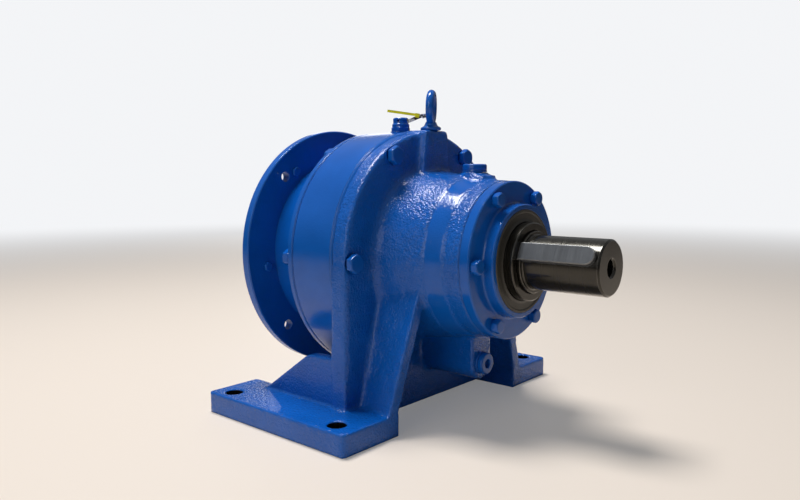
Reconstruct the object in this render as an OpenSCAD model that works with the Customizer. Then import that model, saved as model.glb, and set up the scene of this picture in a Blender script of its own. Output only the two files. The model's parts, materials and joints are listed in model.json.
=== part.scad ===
// Foot-mounted cycloidal reducer: one cycloidal stage, keyed solid output shaft and motor adapter.
// +X runs along the shafts towards the output end, +Z is up and the feet stand on z = 0.
// The origin is the centre of the foot-hole pattern on the base plane.

/* [Feet] */
// Height of the shaft axis above the base plane
axis_h = 150; // [145:1:170]
// Distance between the foot holes along the shafts
foot_hole_x = 141.4; // [130:1:150]
// Distance between the foot holes across the shafts
foot_hole_y = 294; // [284:1:300]
// Diameter of the foot holes
foot_hole_d = 17; // [12:0.5:20]
// Distance from the foot holes' axes to the outer edge of the pads
foot_edge = 15.25; // [12:0.25:20]
// Thickness of the foot pads
foot_t = 20; // [16:0.5:24]
// Distance from the rear foot holes to the rear end of the pads
foot_rear_over = 20.3; // [16:0.5:26]
// Distance from the front foot holes to the front end of the pads
foot_front_over = 22.3; // [18:0.5:28]
// How far the rear part of the pads reaches inwards past the webs
pad_in = 1.1; // [0.5:0.1:4]
// How much further inwards the pads reach in front, under the ribs
pad_front_in = 10.6; // [9:0.1:13]
// Radius of the pad corners
foot_corner_r = 5; // [2:0.5:10]

/* [Casing] */
// Distance of the casing flange's front face ahead of the foot-hole centre
flange_front_x = 53.9; // [48:0.5:58]
// How far the casing flange's rim lies inside the ring housing's
flange_drop = 1.6; // [0:0.1:3]
// Thickness of the casing flange
flange_t = 17.6; // [15:0.2:20]
// Radius of the snout where it leaves the flange
snout_root_r = 81.5; // [80:0.5:86]
// Radius of the snout behind the machined band
snout_mid_r = 75.6; // [74:0.2:78]
// Radius of the machined band's front end
band_front_r = 72.6; // [72:0.1:74]
// Radius of the snout's front end
snout_front_r = 71.8; // [71.4:0.1:72.4]
// Length of the rough cast cone between the flange and the machined band
snout_rough_len = 50.7; // [48:0.1:54]
// Length of the machined band
band_len = 18; // [14:0.5:20]
// Length of the rough cast neck in front of the band
neck_len = 16.8; // [14:0.2:20]
// Thickness of the inclined front ribs, measured across the shafts
rib_t = 12.4; // [10:0.2:14]
// How far the top of a front rib's end stands ahead of its foot
rib_lean = 6.4; // [4:0.2:8]
// How much further out a front rib's foot stands at its end than at the flange
rib_toe = 4.3; // [2:0.1:6]
// Height of the casing flange's lower edge between the pads
flange_foot_z = 4; // [2:0.5:8]
// Thickness of the long side webs
web_t = 13; // [10:0.5:16]
// Height of the side webs' level top edge
web_top_z = 64; // [56:1:70]
// Length of the side webs' level top edge
web_top_len = 37.5; // [34:0.5:40]
// How far the drain boss's face stands ahead of the flange face
drain_front = 61.6; // [56:0.5:66]
// Distance of the drain plug's axis below the shaft axis
drain_drop = 99.6; // [97:0.2:102]
// Half width of the drain boss and radius of its round underside
drain_boss_r = 15.6; // [14:0.2:17]
// Half width of the lifting lug
lug_half_w = 16.6; // [14:0.2:19]
// How far the lifting lug stands ahead of the flange face
lug_front = 8.8; // [7:0.2:11]
// Height of the lifting lug's top above the ring housing's
lug_over_ring = 0.2; // [0:0.1:2]
// Distance of the filler boss's axis ahead of the flange face
filler_out = 52; // [50:0.5:54]
// Height of the filler boss's top above the shaft axis
filler_rise = 79.3; // [78:0.1:82]
// Radius of the filler boss
filler_boss_r = 12.5; // [11.6:0.1:14]

/* [Ring housing] */
// Outer radius of the ring housing and of the adapter's front plate
ring_r = 119.7; // [119:0.1:121]
// Length of the ring housing
ring_len = 49.9; // [48:0.1:54]
// Distance of the casing bolts' circle inside the ring housing's rim
bolt_edge = 10.4; // [10:0.1:10.8]
// Distance of the ring pins' circle inside the casing bolts' circle
pins_to_bolts = 21.3; // [21:0.1:21.6]
// Radius of a ring pin
pin_r = 8; // [7.8:0.05:8.1]
// Radial gap between a ring pin and its half-round pocket
pocket_gap = 0.05; // [0.02:0.01:0.08]
// Gap between the ring housing's bore and the registers of its neighbours
register_gap = 0.05; // [0.02:0.01:0.1]
// Length of each register
register_len = 4; // [3:0.5:5]
// How much larger than the pin circle the ring housing's bore radius is
bore_over_pins = 0.3; // [0.2:0.1:0.6]
// Thickness of the flat gaskets
gasket_t = 0.5; // [0.3:0.1:0.8]

/* [Motor adapter] */
// Thickness of the adapter's front plate
plate_t = 6.4; // [6:0.2:8]
// Length of the adapter's hub between the front plate and the motor flange
hub_len = 52.1; // [48:0.5:60]
// Outer radius of the adapter's hub
hub_r = 91.5; // [90:0.5:93]
// Radius of the motor flange
motor_flange_r = 125; // [123:0.5:130]
// Thickness of the motor flange
motor_flange_t = 9.5; // [8.5:0.5:12]
// Radius of the motor spigot's recess
spigot_r = 90; // [85:0.5:90.5]
// Depth of the motor spigot's recess
spigot_depth = 4.5; // [3.5:0.5:6]
// Diameter of the motor bolt circle
motor_pcd = 215; // [214:1:220]
// Radius of the motor bolt holes
motor_hole_r = 5.1; // [4:0.1:6]
// Wall thickness of the adapter's hub round the motor coupling
hub_wall = 19.5; // [16:0.5:24]
// Distance of the small screws' circle in the motor flange outside the hub
small_screw_out = 10.5; // [10:0.5:12]
// Radius of the small screws in the motor flange
small_screw_r = 3; // [2.5:0.1:3.5]
// How much wider than the motor cavity the seat of the bearing carrier is
carrier_ledge = 6; // [5:0.5:8]

/* [End cover] */
// Radius of the output end cover
cover_r = 71.3; // [70.6:0.1:71.8]
// Thickness of the output end cover
cover_t = 9.5; // [9:0.1:12]
// Outer radius of the cover's raised seal ring
seal_ring_r = 51.4; // [50.5:0.1:53]
// Height of the raised seal ring above the cover's face
seal_ring_h = 10.5; // [9:0.5:12]
// Radius of the circle of cover bolts
cover_bolt_circle_r = 63.2; // [62:0.1:64]

/* [Output shaft] */
// Radius of the keyed shaft end
shaft_r = 24; // [22:0.5:26]
// Radius of the shaft under the front bearing
shaft_front_r = 27.5; // [27.5:0.5:28]
// Radius of the shaft under the rear bearing
shaft_rear_r = 32.5; // [32.5:0.5:33]
// Length of the keyed shaft end
shaft_end_len = 69.4; // [60:0.1:90]
// Length of the shaft's step in front of the seal sleeve
step_len = 3; // [2:0.5:6]
// Outer radius of the seal sleeve
sleeve_r = 34.8; // [34:0.1:36]
// How far the seal sleeve stands out of the raised seal ring
sleeve_out = 9; // [6:0.5:12]
// Width of the key
key_w = 16; // [12:0.5:18]
// Height of the key
key_h = 10; // [8:0.5:11]
// How far the key stands proud of the keyed shaft end
key_proud = 4; // [3:0.25:4.5]
// Distance from the key's round end to the shaft's end face
key_to_end = 3.4; // [2:0.2:10]
// Angle of the key from +Y towards +Z
key_angle = 154; // [0:1:360]
// Radius of the threaded centre hole in the shaft's end
centre_hole_r = 7; // [5:0.5:8]
// Depth of the threaded centre hole
centre_hole_depth = 36; // [25:1:45]

/* [Cycloid stage] */
// Number of ring pins
ring_pins_n = 12; // [12:2:12]
// Eccentricity of the double eccentric
ecc = 3.8; // [3.6:0.05:3.9]
// Gap between a disc's profile and the ring pins
mesh_gap = 0.25; // [0.2:0.01:0.3]
// Thickness of a cycloid disc
disc_t = 15; // [13:0.5:15.5]
// Gap between the two cycloid discs
disc_gap = 3; // [3:0.5:4]
// Number of output pins
output_pins_n = 8; // [6:2:8]
// Radius of the circle of output pins as a share of the ring pins' circle
output_circle_share = 0.6477; // [0.643:0.001:0.653]
// Radius of an output pin
output_pin_r = 5; // [4:0.1:5.2]
// Outer radius of an output pin's roller
output_roller_r = 7.35; // [7:0.05:7.5]
// Outer radius of the eccentric cams
cam_r = 26; // [26:0.1:26.5]
// Radius of an eccentric bearing's roller
ecc_roller_r = 5; // [4.6:0.1:5.2]
// Number of rollers in an eccentric bearing
ecc_rollers_n = 14; // [10:1:15]

/* [Input quill] */
// Radius of the motor shaft bore
motor_bore_r = 14; // [12:0.5:14.5]
// Depth of the motor shaft bore
motor_bore_depth = 50; // [45:1:52]
// Width of the motor shaft's keyway
motor_key_w = 8; // [6:0.5:9]
// Outer radius of the quill under the input bearing
quill_r = 20; // [20:0.1:20.5]
// Radius of the quill under the eccentric cams
quill_cam_r = 18; // [17:0.5:18.5]
// Radius of the quill under the pilot bearing
quill_pilot_r = 12.5; // [12:0.5:12.5]

/* [Bolts and plugs] */
// Radius of a casing bolt
casing_bolt_r = 6; // [5:0.5:6]
// Radius of a cover bolt
cover_bolt_r = 4; // [3:0.5:4]
// Free width for a spanner round the bolt heads and nuts
spanner_gap = 1.2; // [0.8:0.1:1.6]
// Radius of the filler and drain plugs' threads
plug_r = 7; // [6:0.5:7.5]
// Radius of the eyebolt's thread
eye_thread_r = 6; // [5:0.5:6.5]
// Radius of the eyebolt's ring to the middle of its wire
eye_ring_r = 13.2; // [12:0.2:16]
// Radius of the eyebolt's wire
eye_wire_r = 4.1; // [3.5:0.1:4.6]
// Turn of the eyebolt's ring about the vertical, from +X
eye_turn = 122; // [0:1:180]

/* [Hidden] */

$fn = 96;
eps = 0.02;          // overshoot of a cut
thread_gap = 0.05;   // radial gap round a thread or a bolt's shank
seat_gap = 0.02;     // radial gap of a pressed or located seat
run_gap = 0.08;      // radial gap of balls and rollers on their races

blue = [0.03, 0.15, 0.46];
steel = [0.62, 0.63, 0.65];
dark_steel = [0.16, 0.16, 0.17];
bright = [0.78, 0.79, 0.8];
rubber = [0.05, 0.05, 0.05];
paper = [0.35, 0.25, 0.15];
bronze = [0.7, 0.5, 0.25];

// ---- places along the shafts -------------------------------------------------------------
casing_rear_x = flange_front_x - flange_t;
ring_front_x = casing_rear_x - gasket_t;
ring_rear_x = ring_front_x - ring_len;
plate_front_x = ring_rear_x - gasket_t;
plate_rear_x = plate_front_x - plate_t;
motor_flange_front_x = plate_rear_x - hub_len;
motor_face_x = motor_flange_front_x - motor_flange_t;
band_rear_x = flange_front_x + snout_rough_len;
band_front_x = band_rear_x + band_len;
snout_end_x = band_front_x + neck_len;
cover_rear_x = snout_end_x + gasket_t;
cover_front_x = cover_rear_x + cover_t;
seal_ring_front_x = cover_front_x + seal_ring_h;
sleeve_front_x = seal_ring_front_x + sleeve_out;
step_front_x = sleeve_front_x + step_len;
shaft_tip_x = step_front_x + shaft_end_len;
foot_rear_x = -foot_hole_x / 2 - foot_rear_over;
foot_front_x = foot_hole_x / 2 + foot_front_over;

// ---- places across the shafts ------------------------------------------------------------
flange_r = ring_r - flange_drop;
casing_bolt_circle_r = ring_r - bolt_edge;
pin_circle_r = casing_bolt_circle_r - pins_to_bolts;
output_circle_r = pin_circle_r * output_circle_share;
foot_w = foot_hole_y + 2 * foot_edge;
foot_inner_y = flange_r - web_t - pad_in;
rib_foot_y = foot_inner_y - pad_front_in + rib_t + 0.8;
rib_top_y = snout_root_r - 6.8;
rib_top_z = axis_h - 28;
lug_rise = ring_r + lug_over_ring;
drain_z = axis_h - drain_drop;
cavity_r = hub_r - hub_wall;
carrier_seat_r = cavity_r + carrier_ledge;
small_screw_circle_r = hub_r + small_screw_out;

// ---- bearings: [bore radius, outer radius, width, ball radius, number of balls] ------------
rear_brg = [shaft_rear_r, 60, 23, 8, 10];
front_brg = [shaft_front_r, 50, 21, 7, 10];
input_brg = [quill_r, 40, 18, 6, 9];
pilot_brg = [quill_pilot_r, 26, 15, 4, 9];
seal_out_w = 9;
seal_out_r = 46;
front_brg_x = cover_rear_x - 3 - front_brg[2];
rear_brg_x = flange_front_x + 0.5;
spacer_x = rear_brg_x + rear_brg[2];

// ---- registers and the gear chamber ------------------------------------------------------
register_r = pin_circle_r + pin_r + 3;
chamber_r = pin_circle_r - pin_r - 2;
pins_rear_x = ring_rear_x + register_len;
pins_front_x = ring_front_x - register_len;
stage_mid_x = (pins_rear_x + pins_front_x) / 2 + 2;
disc_a_x = stage_mid_x - disc_gap / 2 - disc_t;
disc_b_x = stage_mid_x + disc_gap / 2;
disc_lobes = ring_pins_n - 1;
ring_phase = 180 / ring_pins_n;
disc_bore_r = cam_r + 2 * ecc_roller_r;
disc_hole_r = output_roller_r + ecc + 0.15;
profile_r = pin_r + mesh_gap;
points_per_lobe = 24;

// ---- output carrier ------------------------------------------------------------------------
carrier_r = chamber_r - 4;
carrier_rear_x = disc_b_x + disc_t + 4.5;
carrier_front_x = rear_brg_x - 4;
pilot_x = carrier_rear_x + 1;
pin_seat_depth = 13;

// ---- input quill ---------------------------------------------------------------------------
input_brg_x = plate_front_x - 6 - input_brg[2];
collar_front_x = disc_a_x - 0.5;
quill_rear_x = motor_face_x + 14;
quill_tip_x = pilot_x + pilot_brg[2] - 0.2;
cam_len = disc_t + disc_gap / 2 + 0.5;
seal_in_w = 8;
seal_in_x = input_brg_x - seal_in_w - 3;
seal_in_r = 1.7 * quill_r;
carrier_web_x = seal_in_x - 3;
carrier_shoulder_x = carrier_web_x + 6.6;

// ---- bolts and plugs -------------------------------------------------------------------------
casing_head_af = 3.2 * casing_bolt_r - 0.2;
casing_head_h = 1.25 * casing_bolt_r;
cover_head_af = 3.25 * cover_bolt_r;
cover_head_h = 1.35 * cover_bolt_r;
washer_t = 2.2;
cover_washer_t = 0.4 * cover_bolt_r;
sealing_washer_t = 0.22 * plug_r;
head_corner_r = casing_head_af / sqrt(3);
nut_len = 1.8 * casing_bolt_r;
spanner_len = washer_t + nut_len + 12;
vent_x = (ring_rear_x + ring_front_x) / 2 + 4;
vent_z = axis_h + ring_r;
filler_x = flange_front_x + filler_out;
filler_top_z = axis_h + filler_rise;
drain_face_x = flange_front_x + drain_front;
vent_seat_z = vent_z - 0.6;
vent_thread_r = plug_r - 1;
vent_washer_r = vent_thread_r * 1.6;
thread_len = 11;
bolt_hole_gap = 0.75;
cover_bolt_end_x = snout_end_x - 4 * cover_bolt_r;
hub_screw_circle_r = (cavity_r + hub_r) / 2;
hub_screw_len = 5.3 * small_screw_r;
motor_hole_angles = [45, 135, 225, 315];
small_screw_angles = [for (a = range_step(6)) a + 7.5];
eye_x = flange_front_x;
eye_seat_z = axis_h + lug_rise;
eye_thread_len = 3 * eye_thread_r;
eye_collar_h = 6.6;
eye_mid_z = eye_seat_z + eye_collar_h + eye_ring_r + eye_wire_r - 1.2;
tie_z = eye_mid_z - eye_wire_r - 2;
tie_loop_r = 2 * eye_wire_r;
tie_wall = 0.32 * eye_wire_r;
tie_w = 0.63 * eye_wire_r;
tie_drop = -4;
tie_rise = 5;
tie_tail_len = 36;
tag_size = [12.5, 8];
tie_reach = eye_ring_r + eye_wire_r - 0.1 - (tie_loop_r - tie_wall);
tie_turn = 220.8;

// =============================================================================================
// Helpers
// =============================================================================================

// Stands a flat outline up across the shafts: outline x becomes Y, outline y becomes Z.
module across(x0, len) {
    translate([x0, 0, axis_h]) rotate([90, 0, 90]) linear_extrude(len) children();
}

// The same with outline y measured from the base plane.
module across_base(x0, len) {
    translate([x0, 0, 0]) rotate([90, 0, 90]) linear_extrude(len) children();
}

// Turns an outline about the shaft axis: outline x is the radius, outline y is the place on X.
module turned() {
    translate([0, 0, axis_h]) rotate([90, 0, 90]) rotate_extrude() children();
}

// A cylinder along the shafts.
module rod(x0, len, r) {
    across(x0, len) circle(r);
}

// A tube along the shafts.
module tube(x0, len, r_in, r_out) {
    across(x0, len) difference() {
        circle(r_out);
        circle(r_in);
    }
}

// A turned ring with a small chamfer on all four edges.
module chamfered_ring(x0, len, r_in, r_out, c) {
    turned() polygon([
        [r_in + c, x0], [r_out - c, x0], [r_out, x0 + c], [r_out, x0 + len - c],
        [r_out - c, x0 + len], [r_in + c, x0 + len], [r_in, x0 + len - c], [r_in, x0 + c]
    ]);
}

// Puts the children at each angle on a circle about the shaft axis.
module on_circle(angles, r) {
    for (a = angles) translate([0, 0, axis_h]) rotate([a, 0, 0]) translate([0, r, 0]) children();
}

// A cylinder along X with its axis through the local origin.
module bar(x0, len, r) {
    translate([x0, 0, 0]) rotate([0, 90, 0]) cylinder(r = r, h = len);
}

// A hexagon head standing on x0, towards dir, with its corners turned off; af is across the flats.
module hex_head(x0, dir, af, h) {
    corner_r = af / sqrt(3);
    dome = af * 0.09;
    translate([x0, 0, 0]) rotate([0, dir * 90, 0]) intersection() {
        cylinder(r = corner_r, h = h, $fn = 6);
        rotate_extrude() polygon([
            [0, 0], [corner_r + eps, 0], [corner_r + eps, h - dome], [af * 0.46, h], [0, h]
        ]);
    }
}

// A flat bar in the XZ plane, t thick, between y0 and y0 + t.
module side_plate(y0, t, points) {
    translate([0, y0 + t, 0]) rotate([90, 0, 0]) linear_extrude(t) polygon(points);
}

// A rectangle with round corners.
module round_rect(x0, y0, x1, y1, r) {
    translate([x0 + r, y0]) square([x1 - x0 - 2 * r, y1 - y0]);
    translate([x0, y0 + r]) square([x1 - x0, y1 - y0 - 2 * r]);
    for (x = [x0 + r, x1 - r], y = [y0 + r, y1 - r]) translate([x, y]) circle(r);
}

function range_step(n) = [for (i = [0 : n - 1]) i * 360 / n];

// =============================================================================================
// Casing and covers
// =============================================================================================

// The flange is round above the shaft axis; below it, its sides run nearly straight down to the pads.
module flange_outline() {
    spread = 2.6;
    circle(flange_r);
    polygon([
        [-flange_r, 0], [flange_r, 0],
        [flange_r + spread, foot_t - axis_h], [-flange_r - spread, foot_t - axis_h]
    ]);
    translate([-foot_inner_y, flange_foot_z - axis_h]) square([2 * foot_inner_y, foot_t]);
}

module snout_outline() {
    root_fillet = 7;
    polygon([
        [0, casing_rear_x], [snout_root_r, casing_rear_x], [snout_root_r, flange_front_x],
        [snout_root_r + root_fillet, flange_front_x], [snout_root_r + 2.2, flange_front_x + 1.8],
        [snout_root_r, flange_front_x + root_fillet], [snout_mid_r, band_rear_x],
        [snout_mid_r - 0.7, band_rear_x], [band_front_r, band_front_x],
        [snout_front_r - 0.7, band_front_x + 1.5], [snout_front_r, band_front_x + 4],
        [snout_front_r, snout_end_x], [0, snout_end_x]
    ]);
}

// Front rib of one side: it rises from the pad's front end, leaning inwards, until it meets the snout.
module rib(side) {
    z0 = foot_t - 1;
    z1 = rib_top_z + 8;
    slope = (rib_foot_y - rib_top_y) / (rib_top_z - foot_t);
    root_slope = (rib_foot_y - rib_toe - rib_top_y) / (rib_top_z - foot_t);
    lean = rib_lean / (rib_top_z - foot_t);
    x0 = flange_front_x - 1;
    // corners of one end, from the outer foot round to the inner foot
    function end_points(y0, y1, xa, xb) = [
        [xa, side * y0, z0], [xb, side * y1, z1], [xb, side * (y1 - rib_t), z1], [xa, side * (y0 - rib_t), z0]
    ];
    points = concat(
        end_points(rib_foot_y - rib_toe + root_slope, rib_top_y - 8 * root_slope, x0, x0),
        end_points(rib_foot_y + slope, rib_top_y - 8 * slope, foot_front_x - lean, foot_front_x + rib_lean + 8 * lean)
    );
    faces = [
        [0, 1, 2], [0, 2, 3], [4, 6, 5], [4, 7, 6], [0, 5, 1], [0, 4, 5],
        [1, 5, 6], [1, 6, 2], [2, 6, 7], [2, 7, 3], [0, 3, 7], [0, 7, 4]
    ];
    polyhedron(points, side > 0 ? faces : [for (f = faces) [f[2], f[1], f[0]]]);
}

// Long side web: it climbs from the rear of the pad to a level edge at the flange.
module web(side) {
    rear_x = foot_rear_x + 30.8;
    knee_x = casing_rear_x - web_top_len;
    y_out = flange_r;
    y0 = side > 0 ? y_out - web_t : -y_out;
    side_plate(y0, web_t, [
        [rear_x, foot_t - 1], [knee_x, web_top_z - 4], [knee_x + 6, web_top_z - 1],
        [casing_rear_x + 1, web_top_z], [casing_rear_x + 1, foot_t - 1]
    ]);
}

module foot(side) {
    linear_extrude(foot_t) scale([1, side]) difference() {
        union() {
            round_rect(foot_rear_x, foot_inner_y, foot_front_x, foot_w / 2, foot_corner_r);
            // the pad widens inwards under the flange and the front rib
            translate([casing_rear_x - 2, foot_inner_y - pad_front_in])
                square([foot_front_x - casing_rear_x + 2, pad_front_in + 2 * foot_corner_r]);
        }
        for (x = [-foot_hole_x / 2, foot_hole_x / 2]) translate([x, foot_hole_y / 2]) circle(foot_hole_d / 2);
    }
}

// Drain boss: a narrow keel under the snout, from the flange to the drain plug, round underneath.
module drain_keel() {
    rear_x = casing_rear_x + 1;
    top_z = axis_h - snout_front_r + 8;
    translate([rear_x, 0, drain_z]) rotate([0, 90, 0]) cylinder(r = drain_boss_r, h = drain_face_x - rear_x);
    translate([rear_x, -drain_boss_r, drain_z]) cube([drain_face_x - rear_x, 2 * drain_boss_r, top_z - drain_z]);
}

module lifting_lug() {
    rear_x = casing_rear_x;
    len = flange_front_x + lug_front - rear_x;
    skirt_h = lug_rise - flange_r + 18;
    side_h = 8;
    across(rear_x, len) polygon([
        [-lug_half_w - 9, lug_rise - skirt_h], [lug_half_w + 9, lug_rise - skirt_h],
        [lug_half_w + 2, lug_rise - side_h], [lug_half_w, lug_rise],
        [-lug_half_w, lug_rise], [-lug_half_w - 2, lug_rise - side_h]
    ]);
}

module filler_boss() {
    root_z = axis_h + snout_front_r - 12;
    front_out = 8;
    step = 3;
    translate([filler_x, 0, root_z]) cylinder(r = filler_boss_r, h = filler_top_z - root_z);
    // lower shoulder towards the end cover
    translate([filler_x, -filler_boss_r, root_z]) cube([front_out, 2 * filler_boss_r, filler_top_z - step - root_z]);
    translate([filler_x + front_out, 0, root_z]) cylinder(r = filler_boss_r, h = filler_top_z - step - root_z);
}

module casing_cavities() {
    neck_r = 46;
    // carrier space, bearing seats and the space between the bearings
    turned() polygon([
        [0, casing_rear_x - register_len - 1], [chamber_r, casing_rear_x - register_len - 1],
        [chamber_r, carrier_front_x + 3], [rear_brg[1] + seat_gap, carrier_front_x + 3],
        [rear_brg[1] + seat_gap, spacer_x], [rear_brg[1] - 6, spacer_x],
        [rear_brg[1] - 6, spacer_x + 12], [neck_r, spacer_x + 18], [neck_r, front_brg_x],
        [front_brg[1] + seat_gap, front_brg_x], [front_brg[1] + seat_gap, snout_end_x + 1],
        [0, snout_end_x + 1]
    ]);
    // oil pocket in the flange, under the carrier space, and the drain passage in the keel
    pocket_x = casing_rear_x + 6;
    pocket_w = 2 * (plug_r + 2);
    translate([pocket_x, -pocket_w / 2, drain_z - plug_r]) cube([8, pocket_w, axis_h - chamber_r + 6 - drain_z + plug_r]);
    translate([pocket_x + 1, 0, drain_z]) rotate([0, 90, 0]) cylinder(r = plug_r - 2, h = drain_face_x - pocket_x);
    translate([drain_face_x - thread_len - 1, 0, drain_z]) rotate([0, 90, 0])
        cylinder(r = plug_r + thread_gap, h = thread_len + 2);
    // filler passage
    passage_z = axis_h + front_brg[1] - 10;
    translate([filler_x, 0, passage_z]) cylinder(r = plug_r - 2, h = filler_top_z - passage_z);
    translate([filler_x, 0, filler_top_z - thread_len - 1]) cylinder(r = plug_r + thread_gap, h = thread_len + 2);
    // eyebolt hole
    translate([eye_x, 0, eye_seat_z - eye_thread_len - 2]) cylinder(r = eye_thread_r + thread_gap, h = eye_thread_len + 3);
    // bolt holes, with room for a spanner round the heads
    on_circle(range_step(6), casing_bolt_circle_r) {
        bar(casing_rear_x - 1, flange_t + 2, casing_bolt_r + bolt_hole_gap);
        bar(flange_front_x + eps, casing_head_h + 8, head_corner_r + spanner_gap);
    }
    on_circle(range_step(6), cover_bolt_circle_r)
        bar(cover_bolt_end_x - 1, snout_end_x + 2 - cover_bolt_end_x, cover_bolt_r + thread_gap);
}

module casing() {
    color(blue) difference() {
        union() {
            across(casing_rear_x, flange_t) flange_outline();
            // register that centres the ring housing
            tube(casing_rear_x - register_len - gasket_t, register_len + gasket_t + 1,
                chamber_r, register_r - register_gap);
            turned() snout_outline();
            for (side = [-1, 1]) {
                rib(side);
                web(side);
                foot(side);
            }
            drain_keel();
            lifting_lug();
            filler_boss();
        }
        casing_cavities();
    }
}

module ring_housing() {
    c = 1.2;
    color(blue) difference() {
        turned() polygon([
            [chamber_r + pin_r, ring_rear_x], [ring_r - c, ring_rear_x], [ring_r, ring_rear_x + c],
            [ring_r, ring_front_x - 0.6], [ring_r - 0.6, ring_front_x], [chamber_r + pin_r, ring_front_x]
        ]);
        // counterbores for the registers
        rod(ring_rear_x - 1, register_len + 1, register_r);
        rod(ring_front_x - register_len, register_len + 1, register_r);
        // bore and the half-round pockets of the ring pins
        rod(ring_rear_x - 1, ring_len + 2, pin_circle_r + bore_over_pins);
        on_circle([for (a = range_step(ring_pins_n)) a + ring_phase], pin_circle_r)
            bar(ring_rear_x - 1, ring_len + 2, pin_r + pocket_gap);
        on_circle(range_step(6), casing_bolt_circle_r)
            bar(ring_rear_x - 1, ring_len + 2, casing_bolt_r + bolt_hole_gap);
        // breather hole
        translate([vent_x, 0, axis_h + pin_circle_r - 3]) cylinder(r = vent_thread_r / 2, h = ring_r - pin_circle_r + 4);
        translate([vent_x, 0, vent_seat_z - thread_len - 1]) cylinder(r = vent_thread_r + thread_gap, h = thread_len + 2);
        // spot face under the breather
        translate([vent_x, 0, vent_seat_z]) cylinder(r = vent_washer_r + 0.9, h = 5);
    }
}

module ring_gaskets() {
    color(paper) for (x = [casing_rear_x - gasket_t, ring_rear_x - gasket_t])
        difference() {
            tube(x, gasket_t, register_r + 0.2, ring_r - 1.4);
            on_circle(range_step(6), casing_bolt_circle_r)
                bar(x - 1, gasket_t + 2, casing_bolt_r + bolt_hole_gap);
        }
}

module ring_pins() {
    len = pins_front_x - pins_rear_x - 2 * 0.1;
    color(bright) on_circle([for (a = range_step(ring_pins_n)) a + ring_phase], pin_circle_r)
        bar(pins_rear_x + 0.1, len, pin_r);
}

// Hub of the motor adapter: a tube with the motor cavity behind and the seat of the carrier in front.
module motor_adapter() {
    fillet = 5;
    color(blue) difference() {
        turned() polygon([
            [cavity_r, motor_flange_front_x], [hub_r, motor_flange_front_x], [hub_r, plate_rear_x - fillet],
            [hub_r + 0.3 * fillet, plate_rear_x - 0.3 * fillet], [hub_r + fillet, plate_rear_x],
            [carrier_seat_r, plate_rear_x], [carrier_seat_r, carrier_shoulder_x], [cavity_r, carrier_shoulder_x]
        ]);
        on_circle(range_step(6), hub_screw_circle_r)
            bar(motor_flange_front_x - 1, hub_screw_len + 3, small_screw_r + thread_gap);
        // room for a spanner round the nuts
        on_circle(range_step(6), casing_bolt_circle_r)
            bar(plate_rear_x - spanner_len, spanner_len - eps, head_corner_r + spanner_gap);
    }
}

// Front plate of the motor adapter, with the register that centres the ring housing.
module adapter_plate() {
    color(blue) difference() {
        union() {
            turned() polygon([
                [chamber_r, plate_rear_x], [ring_r - 1, plate_rear_x], [ring_r, plate_rear_x + 1],
                [ring_r, plate_front_x - 1], [ring_r - 1, plate_front_x], [chamber_r, plate_front_x]
            ]);
            tube(plate_front_x - 1, register_len + gasket_t + 1, chamber_r, register_r - register_gap);
        }
        on_circle(range_step(6), casing_bolt_circle_r)
            bar(plate_rear_x - 1, plate_t + 2, casing_bolt_r + bolt_hole_gap);
    }
}

// Carrier of the input bearing and the input seal; it sits on the hub's ledge.
module input_carrier() {
    color(blue) difference() {
        turned() polygon([
            [quill_r + 6, carrier_web_x], [cavity_r - seat_gap, carrier_web_x],
            [cavity_r - seat_gap, carrier_shoulder_x], [carrier_seat_r - seat_gap, carrier_shoulder_x],
            [carrier_seat_r - seat_gap, input_brg_x + 4], [input_brg[1] + 10, input_brg_x + 4],
            [input_brg[1] + 10, plate_front_x], [quill_r + 6, plate_front_x]
        ]);
        // bearing seat and seal seat
        rod(input_brg_x, plate_front_x - input_brg_x + 1, input_brg[1] + seat_gap);
        rod(seal_in_x - 1, input_brg_x - seal_in_x + 2, seal_in_r);
        // groove of the bearing's circlip
        tube(input_brg_x + input_brg[2], 2, input_brg[1] - 1, input_brg[1] + 2);
    }
}

module motor_flange() {
    c = 1;
    color(blue) difference() {
        turned() polygon([
            [cavity_r, motor_face_x], [motor_flange_r - c, motor_face_x],
            [motor_flange_r, motor_face_x + c], [motor_flange_r, motor_flange_front_x - c],
            [motor_flange_r - c, motor_flange_front_x], [cavity_r, motor_flange_front_x]
        ]);
        rod(motor_face_x - 1, spigot_depth + 1, spigot_r);
        on_circle(motor_hole_angles, motor_pcd / 2)
            bar(motor_face_x - 1, motor_flange_t + 2, motor_hole_r);
        on_circle(small_screw_angles, small_screw_circle_r)
            bar(motor_face_x + 1.5, motor_flange_t, small_screw_r + thread_gap);
        on_circle(range_step(6), hub_screw_circle_r)
            bar(motor_face_x - 1, motor_flange_t + 2, small_screw_r + 0.4);
    }
}

// Short hexagon screws in the motor flange's second row of tapped holes, and the hub screws.
module flange_screws() {
    tip_x = motor_face_x + 2.5;
    color(blue) on_circle(small_screw_angles, small_screw_circle_r) {
        hex_head(motor_flange_front_x, 1, 3 * small_screw_r, small_screw_r);
        bar(tip_x, motor_flange_front_x + eps - tip_x, small_screw_r);
    }
    color(steel) on_circle(range_step(6), hub_screw_circle_r)
        bar(motor_face_x + spigot_depth + 0.3, motor_flange_t - spigot_depth + hub_screw_len, small_screw_r);
}

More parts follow.
